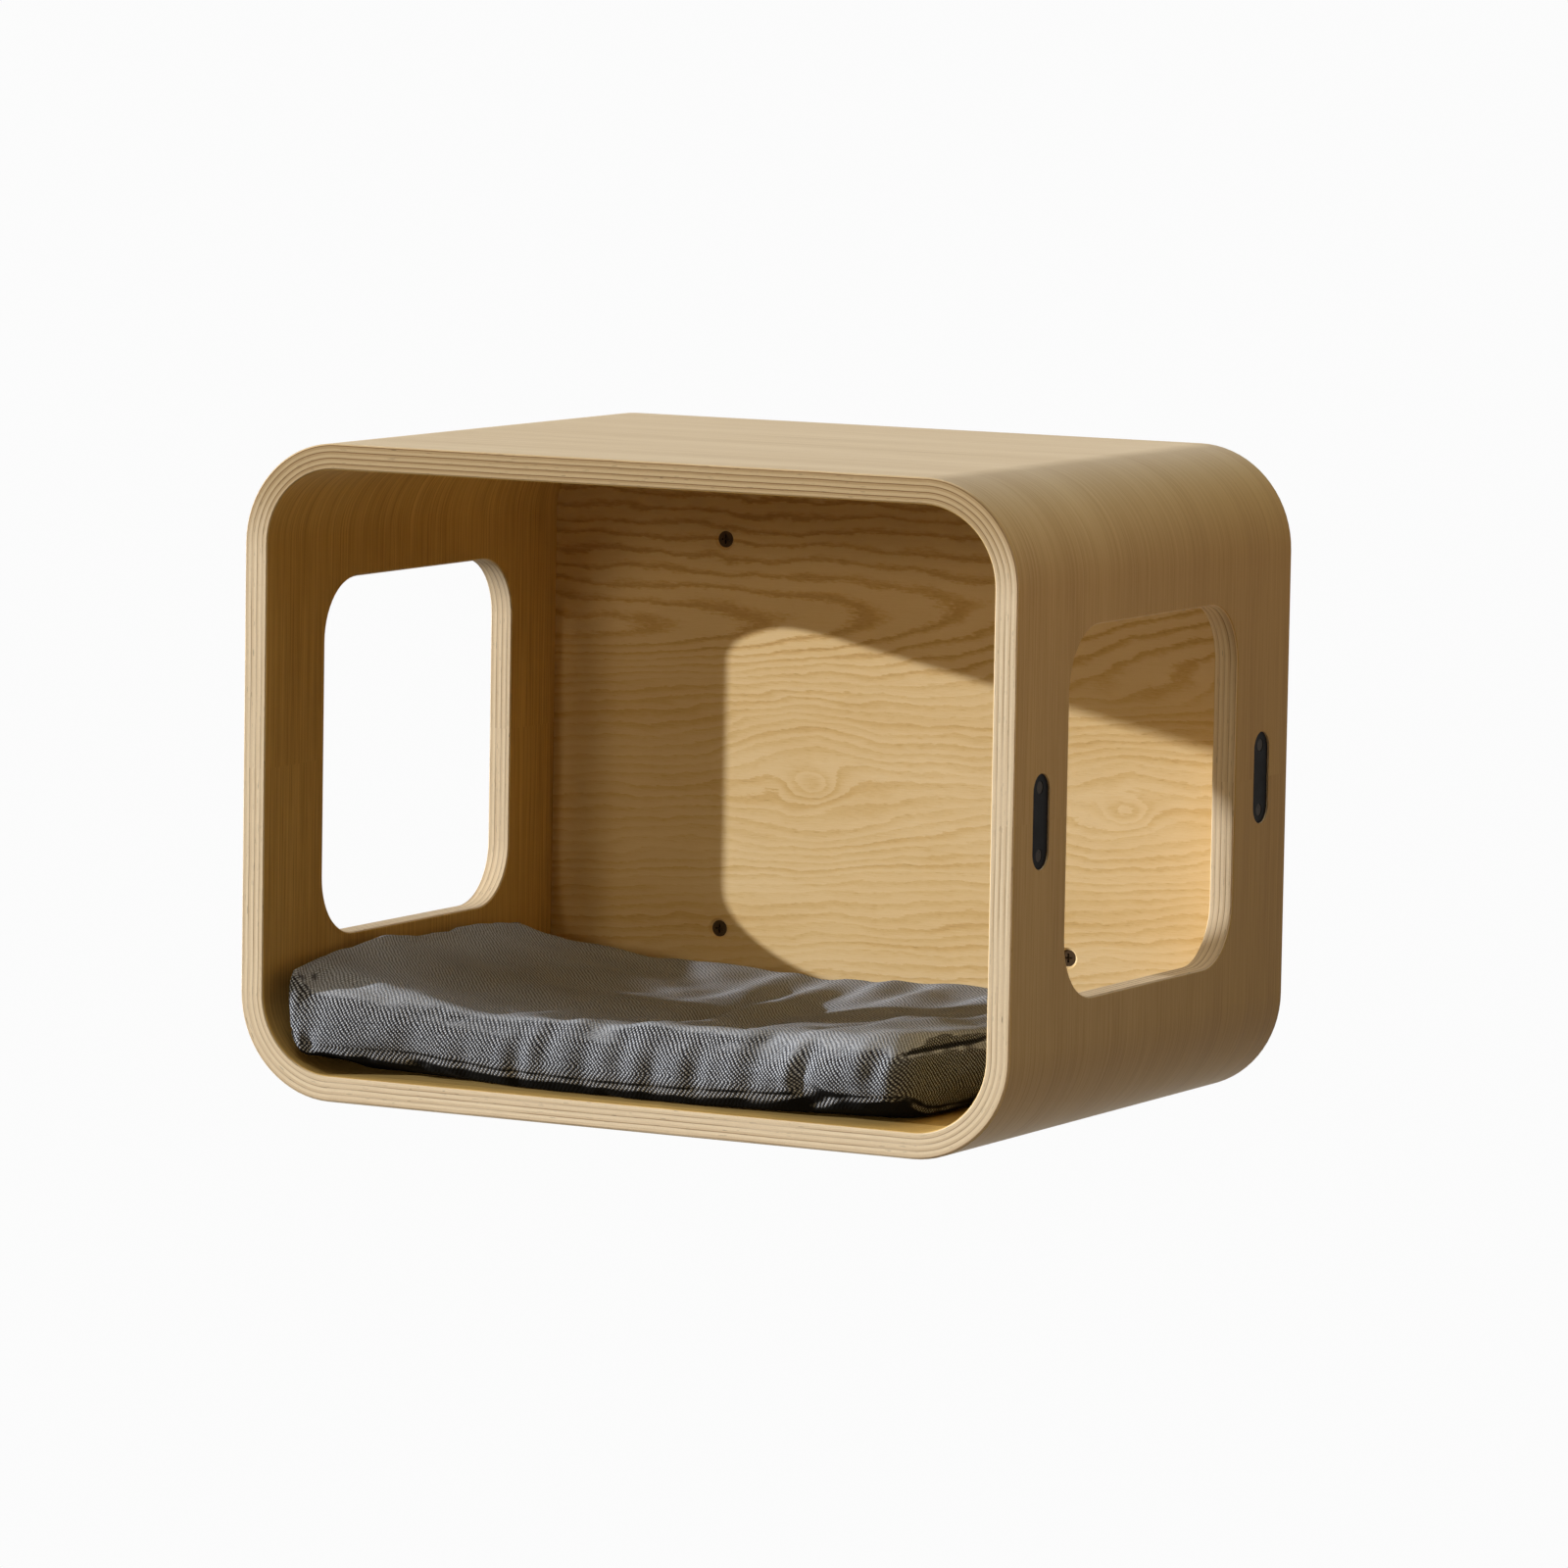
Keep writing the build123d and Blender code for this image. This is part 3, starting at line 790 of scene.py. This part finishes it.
def ease(value, low, high):
    """0 below low and 1 above high, with a smooth step between them. low may be above high."""
    share = np.clip((value - low) / (high - low), 0.0, 1.0)
    return share * share * (3.0 - 2.0 * share)


def bell(offset, reach):
    """1 in the middle, falling off smoothly to both sides."""
    return np.exp(-((offset / reach) ** 2))


def read_mesh(mesh):
    """Coordinates in millimetres and unit normals of a mesh's vertices."""
    places = np.empty(len(mesh.vertices) * 3)
    mesh.vertices.foreach_get("co", places)
    normals = np.empty(len(mesh.vertices) * 3)
    mesh.vertex_normals.foreach_get("vector", normals)
    return places.reshape(-1, 3) / MM, normals.reshape(-1, 3)


def write_mesh(mesh, places):
    mesh.vertices.foreach_set("co", (places * MM).ravel())
    mesh.update()


def new_piece(name, mesh):
    piece = bpy.data.objects.new(name, mesh)
    bpy.context.scene.collection.objects.link(piece)
    return piece


def smooth_piece(piece, iterations):
    """Put a smoothing on the end of a piece's modifiers."""
    smooth = piece.modifiers.new("smooth", "SMOOTH")
    smooth.factor = 0.5
    smooth.iterations = iterations


def settled_mesh(piece):
    """The mesh that a piece's modifiers make of it. The modifiers are taken off."""
    evaluated = piece.evaluated_get(bpy.context.evaluated_depsgraph_get())
    mesh = bpy.data.meshes.new_from_object(evaluated)
    piece.modifiers.clear()
    piece.data = mesh
    return mesh


def even_pad(name):
    """A closed, even mesh of the foam's solid."""
    mesh = nodes["cushion_foam"].data.copy()
    loose = bmesh.new()
    loose.from_mesh(mesh)
    bmesh.ops.remove_doubles(loose, verts=loose.verts, dist=0.01 * MM)
    loose.to_mesh(mesh)
    loose.free()
    pad = new_piece(name, mesh)
    remesh = pad.modifiers.new("remesh", "REMESH")
    remesh.mode = "VOXEL"
    remesh.voxel_size = VOXEL * MM
    smooth_piece(pad, PAD_SMOOTHING)
    settled_mesh(pad)
    return pad


def inflate(pad):
    """Let the cover swell like stuffed cloth, by at most MOST_SWELLING."""
    before, _ = read_mesh(pad.data)
    cloth = pad.modifiers.new("cloth", "CLOTH")
    for setting, value in CLOTH_SETTINGS.items():
        setattr(cloth.settings, setting, value)
    cloth.settings.effector_weights.gravity = 0.0
    cloth.point_cache.frame_start = 1
    cloth.point_cache.frame_end = CLOTH_FRAMES
    scene = bpy.context.scene
    for moment in range(1, CLOTH_FRAMES + 1):
        scene.frame_set(moment)
    mesh = settled_mesh(pad)
    scene.frame_set(1)
    after, _ = read_mesh(mesh)
    moved = after - before
    length = np.linalg.norm(moved, axis=1, keepdims=True)
    moved *= MOST_SWELLING / np.maximum(length, MOST_SWELLING)
    write_mesh(mesh, before + moved)


def fold_lift(places, points, height, left, right):
    """The lift of a fold along a line on the top: steeper on its left side and gone at its ends."""
    line = np.array(points, float)
    nearest = np.full(len(places), np.inf)
    lift = np.zeros(len(places))
    steps = np.diff(line, axis=0)
    lengths = np.linalg.norm(steps, axis=1)
    walked = np.concatenate([[0.0], np.cumsum(lengths)]) / lengths.sum()
    for start, step, length, share, next_share in zip(line, steps, lengths, walked, walked[1:]):
        offset = places[:, :2] - start
        along = np.clip(offset @ step / length**2, 0.0, 1.0)
        miss = offset - along[:, None] * step
        distance = np.linalg.norm(miss, axis=1)
        on_right = step[1] * offset[:, 0] - step[0] * offset[:, 1] > 0.0
        reach = np.where(on_right, right, left)
        total = share + along * (next_share - share)
        taper = np.sin(pi * np.clip(total, FOLD_TIP, 1.0 - FOLD_TIP)) ** FOLD_TAPER
        trough = FOLD_TROUGH * bell(distance - FOLD_TROUGH_REACH * reach, reach)
        bump = height * taper * (bell(distance, reach) - trough)
        closer = distance < nearest
        lift = np.where(closer, bump, lift)
        nearest = np.where(closer, distance, nearest)
    return lift


def waves(places):
    """Soft uneven waves over the top: products of sines with different lengths and directions."""
    total = np.zeros(len(places))
    for size, height, turn in TOP_WAVES:
        across = places[:, 0] * cos(turn) + places[:, 1] * sin(turn)
        along = places[:, 1] * cos(turn) - places[:, 0] * sin(turn)
        ripple = np.sin(2 * pi * across / size)
        total += height * ripple * np.sin(2 * pi * along / (size * WAVE_STRETCH) + size)
    return total


def top_points():
    """All the points that the cushion's top is moved to."""
    slope = SUN_TRAVEL[1] / SUN_TRAVEL[0]
    points = list(OTHER_POINTS)
    for start, heights in SHADOW_LINES:
        points += [(x, start + slope * (x + INNER_WALL), z) for x, z in heights]
    return points


def settle_top(places, normals):
    """Move the top to its points, and stretch the sides with it."""
    flat = normals[:, 2] > TOP_FLATNESS
    total = np.zeros(len(places))
    weights = np.full(len(places), LEAST_WEIGHT)
    for x, y, z in top_points():
        distance = np.hypot(places[:, 0] - x, places[:, 1] - y)
        near = flat & (distance < TOP_POINT_NEAR)
        gap = z - places[near, 2].mean() if near.any() else 0.0
        reach = distance / TOP_POINT_REACH
        weight = np.exp(-0.5 * reach**2) + FAR_WEIGHT * np.exp(-FAR_FALL * reach**2)
        total += weight * gap
        weights += weight
    floor = floor_under(places[:, 0])
    height = np.clip((places[:, 2] - floor) / (TOP_LEVEL - floor), 0.0, 1.0)
    places[:, 2] += total / weights * height


def edge_lift(places):
    """How far the lower side stands off the floor near the front."""
    xs, lifts = np.array(FRONT_EDGE_LIFT, float).T
    return np.interp(places[:, 0], xs, lifts) * ease(places[:, 1], *FRONT_EDGE_ZONE)


def shape_front(places):
    """The front stands near the house's front plane, with a full left corner and its lower edge raised."""
    floor_before = floor_under(places[:, 0])
    past = np.clip((LEFT_CORNER_START - places[:, 0]) / LEFT_CORNER_REACH, 0.0, 1.0)
    places[:, 1] -= (FRONT_PUSH + LEFT_CORNER_FILL * past**2) * ease(places[:, 1], *FRONT_ZONE)
    right = np.maximum(places[:, 0] - RIGHT_SQUEEZE_START, 0.0)
    places[:, 0] -= right * RIGHT_SQUEEZE * ease(places[:, 1], *RIGHT_SQUEEZE_ZONE)
    left = np.minimum(places[:, 0] - LEFT_SQUEEZE_START, 0.0)
    places[:, 0] -= left * LEFT_SQUEEZE * ease(places[:, 1], *LEFT_SQUEEZE_ZONE)
    low = 1.0 - np.clip((places[:, 2] - floor_before) / LOWER_SIDE_HEIGHT, 0.0, 1.0)
    places[:, 2] += (floor_under(places[:, 0]) - floor_before) * low
    places[:, 2] += edge_lift(places) * low

    # The lower left corner is full, down to the bend
    near = ease(places[:, 1], *CORNER_ZONE)
    outward = ease(places[:, 0], *CORNER_OUT_X) * ease(places[:, 2], *CORNER_OUT_Z)
    downward = ease(places[:, 0], *CORNER_DOWN_X) * ease(places[:, 2], *CORNER_DOWN_Z)
    places[:, 0] -= CORNER_OUT * outward * near
    places[:, 2] -= CORNER_DOWN * downward * near


def shape_cover(places, normals):
    """Folds on the top, and gathers, a crease and seams in the sides."""
    on_top = ease(normals[:, 2], 0.25, 0.8)
    on_front = ease(-normals[:, 1], 0.2, 0.75)
    on_end = ease(np.abs(normals[:, 0]), 0.5, 0.85)
    lift = waves(places)
    for points, height, left, right in TOP_FOLDS:
        lift += fold_lift(places, points, height, left, right)
    sink = np.zeros(len(places))
    for x, deepest, depth, reach in FRONT_GATHERS:
        above = places[:, 2] - deepest
        aside = places[:, 0] - x - above * GATHER_TILT
        across = bell(aside, reach) - 0.5 * bell(aside + 2.0 * reach, reach)
        sink += depth * across * bell(above, GATHER_HALF_HEIGHT)
    crease = bell(places[:, 0] - CREASE_X, CREASE_REACH_X) * bell(places[:, 2] - CREASE_Z, CREASE_REACH_Z)
    sink += CREASE_DEPTH * crease
    places[:, 2] += lift * on_top
    places += normals * (-sink * on_front)[:, None]

    # A seam along the lower edge all round, and one below the top of the right end
    above_seam = places[:, 2] - floor_under(places[:, 0]) - SEAM_HEIGHT - edge_lift(places)
    upright = ease(np.abs(normals[:, 2]), 0.8, 0.5)
    low_seam = bell(above_seam, SEAM_HALF_WIDTH) * upright
    end_seam = bell(places[:, 2] - END_SEAM_Z, END_SEAM_HALF_WIDTH) * on_end * (places[:, 0] > 0.0)
    places -= normals * (SEAM_DEPTH * low_seam + END_SEAM_DEPTH * end_seam)[:, None]


def keep_in_place(places):
    """Keep the pad off the floor, the walls and the front plane, with a channel for the zip."""
    places[:, 2] = np.maximum(places[:, 2], floor_under(places[:, 0]) + REST_GAP)
    most_aside = INNER_WALL - REST_GAP
    places[:, 0] = np.clip(places[:, 0], -most_aside, most_aside)
    places[:, 1] = np.clip(places[:, 1], FRONT_LIMIT, REAR_FACE)
    zip_low, zip_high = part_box("zip_lower_half"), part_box("zip_upper_half")
    zip_height = zip_low[1][2] / MM
    zip_middle = (zip_low[0][0] + zip_high[1][0]) / 2 / MM
    aside = np.abs(places[:, 0] - zip_middle)
    apart = np.abs(places[:, 2] - zip_height)
    at_rear = places[:, 1] > REAR_FACE - ZIP_BAND_DEPTH
    band = at_rear & (apart < ZIP_BAND_HALF_HEIGHT) & (aside < ZIP_CHANNEL_HALF_LENGTH + ZIP_BAND_SPARE)
    channel = at_rear & (apart < ZIP_CHANNEL_HALF_HEIGHT) & (aside < ZIP_CHANNEL_HALF_LENGTH)
    places[band, 1] = REAR_FACE
    places[channel, 1] = REAR_FACE - ZIP_CHANNEL_DEPTH


def refine(pad):
    """One subdivision of the simulated mesh."""
    subdivision = pad.modifiers.new("subdivision", "SUBSURF")
    subdivision.levels = 1
    subdivision.render_levels = 1
    settled_mesh(pad)


def dress_pad(pad, material, node):
    """Give a finished pad its material, and let it stand for its CAD node on the cushion's body."""
    pad.data.polygons.foreach_set("use_smooth", [True] * len(pad.data.polygons))
    pad.data.materials.clear()
    pad.data.materials.append(material)
    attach(pad, "cushion")
    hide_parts(node)


def make_cushion():
    """The cushion: a simulated pad that becomes the cover, with a smaller copy inside it as the foam."""
    cover = even_pad("cushion")
    inflate(cover)
    places, normals = read_mesh(cover.data)
    settle_top(places, normals)
    shape_front(places)
    keep_in_place(places)
    write_mesh(cover.data, places)

    foam = new_piece("foam_pad", cover.data.copy())
    smooth_piece(foam, FOAM_SMOOTHING)
    settled_mesh(foam)
    places, normals = read_mesh(foam.data)
    write_mesh(foam.data, places - FOAM_SHRINK * normals)
    dress_pad(foam, foam_block(), "cushion_foam")

    refine(cover)
    places, normals = read_mesh(cover.data)
    shape_cover(places, normals)
    keep_in_place(places)
    write_mesh(cover.data, places)
    dress_pad(cover, grey_twill(), "cushion_cover")


def paint(material, *names):
    for name in names:
        nodes[name].data.materials.clear()
        nodes[name].data.materials.append(material)


def camera_axes():
    """The photograph's right, up and backward directions."""
    back = Vector(
        (
            sin(CAMERA_AZIMUTH) * cos(CAMERA_ELEVATION),
            -cos(CAMERA_AZIMUTH) * cos(CAMERA_ELEVATION),
            sin(CAMERA_ELEVATION),
        )
    )
    level = (-back).cross(Vector((0, 0, 1))).normalized()
    upright = level.cross(-back)
    right = level * cos(CAMERA_ROLL) + upright * sin(CAMERA_ROLL)
    up = upright * cos(CAMERA_ROLL) - level * sin(CAMERA_ROLL)
    return right, up, back


def make_camera():
    right, up, back = camera_axes()
    data = bpy.data.cameras.new("camera")
    data.lens = CAMERA_LENS
    data.sensor_width = CAMERA_SENSOR
    camera = bpy.data.objects.new("camera", data)
    bpy.context.scene.collection.objects.link(camera)
    camera.matrix_world = Matrix.Translation(CAMERA_TARGET + back * CAMERA_DISTANCE) @ (
        Matrix((right, up, back)).transposed().to_4x4()
    )
    bpy.context.scene.camera = camera


def make_lamp(name, travel, strength, span, colour):
    """A lamp so far away that its light is parallel, and soft by the degrees that it spans."""
    data = bpy.data.lights.new(name, "SUN")
    data.energy = strength
    data.angle = radians(span)
    data.color = colour
    lamp = bpy.data.objects.new(name, data)
    lamp.rotation_euler = Vector(travel).to_track_quat("-Z", "Y").to_euler()
    bpy.context.scene.collection.objects.link(lamp)


def seen_directly(tree):
    """1 for camera, mirror and glass rays, which see the white background, and 0 for the light."""
    path = tree.nodes.new("ShaderNodeLightPath")
    rays = ("Is Camera Ray", "Is Glossy Ray", "Is Transmission Ray")
    camera, glossy, transmission = [Field(tree, path.outputs[name]) for name in rays]
    return camera.at_least(glossy).at_least(transmission)


def make_sky():
    """Soft warm light by direction, on a background that looks white."""
    world = bpy.data.worlds.new("sky")
    bpy.context.scene.world = world
    world.use_nodes = True
    tree = world.node_tree
    x, y, z = coordinates(tree, "Generated")
    lobes = ((-y, FILL_FRONT), (x, FILL_RIGHT), (-x, FILL_LEFT), (z, FILL_ABOVE))
    channels = tree.nodes.new("ShaderNodeCombineColor")
    for channel, light in enumerate(FILL_ALL_ROUND):
        for direction, colour in lobes:
            light = direction.at_least(0.0) * colour[channel] + light
        feed(tree, channels.inputs[channel], light)
    choose = tree.nodes.new("ShaderNodeMix")
    choose.data_type = "RGBA"
    feed(tree, choose.inputs[0], seen_directly(tree))
    tree.links.new(channels.outputs[0], choose.inputs[6])
    feed(tree, choose.inputs[7], [BACKGROUND_WHITE] * 3)
    background = tree.nodes["Background"]
    tree.links.new(choose.outputs[2], background.inputs["Color"])


def make_floor():
    """A plain pale floor below the house, which looks white."""
    mesh = bpy.data.meshes.new("floor")
    side = FLOOR_HALF_SIDE
    corners = [(-side, -side), (side, -side), (side, side), (-side, side)]
    mesh.from_pydata([(x, y, FLOOR_DEPTH) for x, y in corners], [], [(0, 1, 2, 3)])
    floor = bpy.data.objects.new("floor", mesh)
    bpy.context.scene.collection.objects.link(floor)
    surface = Surface("floor", roughness=0.9, specular=0.1)
    x, y, _ = surface.place()
    mottle = surface.grain(x, y, (FLOOR_MOTTLE, FLOOR_MOTTLE), 0.0, detail=3.0)
    seen = seen_directly(surface.tree)
    pale = surface.mix(seen, FLOOR_UNSEEN, FLOOR_SEEN)
    surface.finish(surface.shade(pale, mottle * 0.02 + 0.99))
    feed(surface.tree, surface.shader.inputs["Emission Color"], (1.0, 1.0, 1.0))
    feed(surface.tree, surface.shader.inputs["Emission Strength"], seen * FLOOR_GLOW)
    mesh.materials.append(surface.material)


make_camera()
for lamp_values in LAMPS:
    make_lamp(*lamp_values)
make_sky()
make_floor()
bpy.context.scene.view_settings.view_transform = "Standard"

paint(bent_plywood(), "upper_shell", "lower_shell")
paint(panel_plywood(), "back_panel")
paint(biscuit_wood(), "biscuits_left", "biscuits_right")
for material_name, dark, roughness, grain, black_nodes in BLACK_METALS:
    paint(black_metal(material_name, dark, roughness, grain), *black_nodes)
paint(nylon_zip(), "zip_upper_half", "zip_lower_half")
make_cushion()
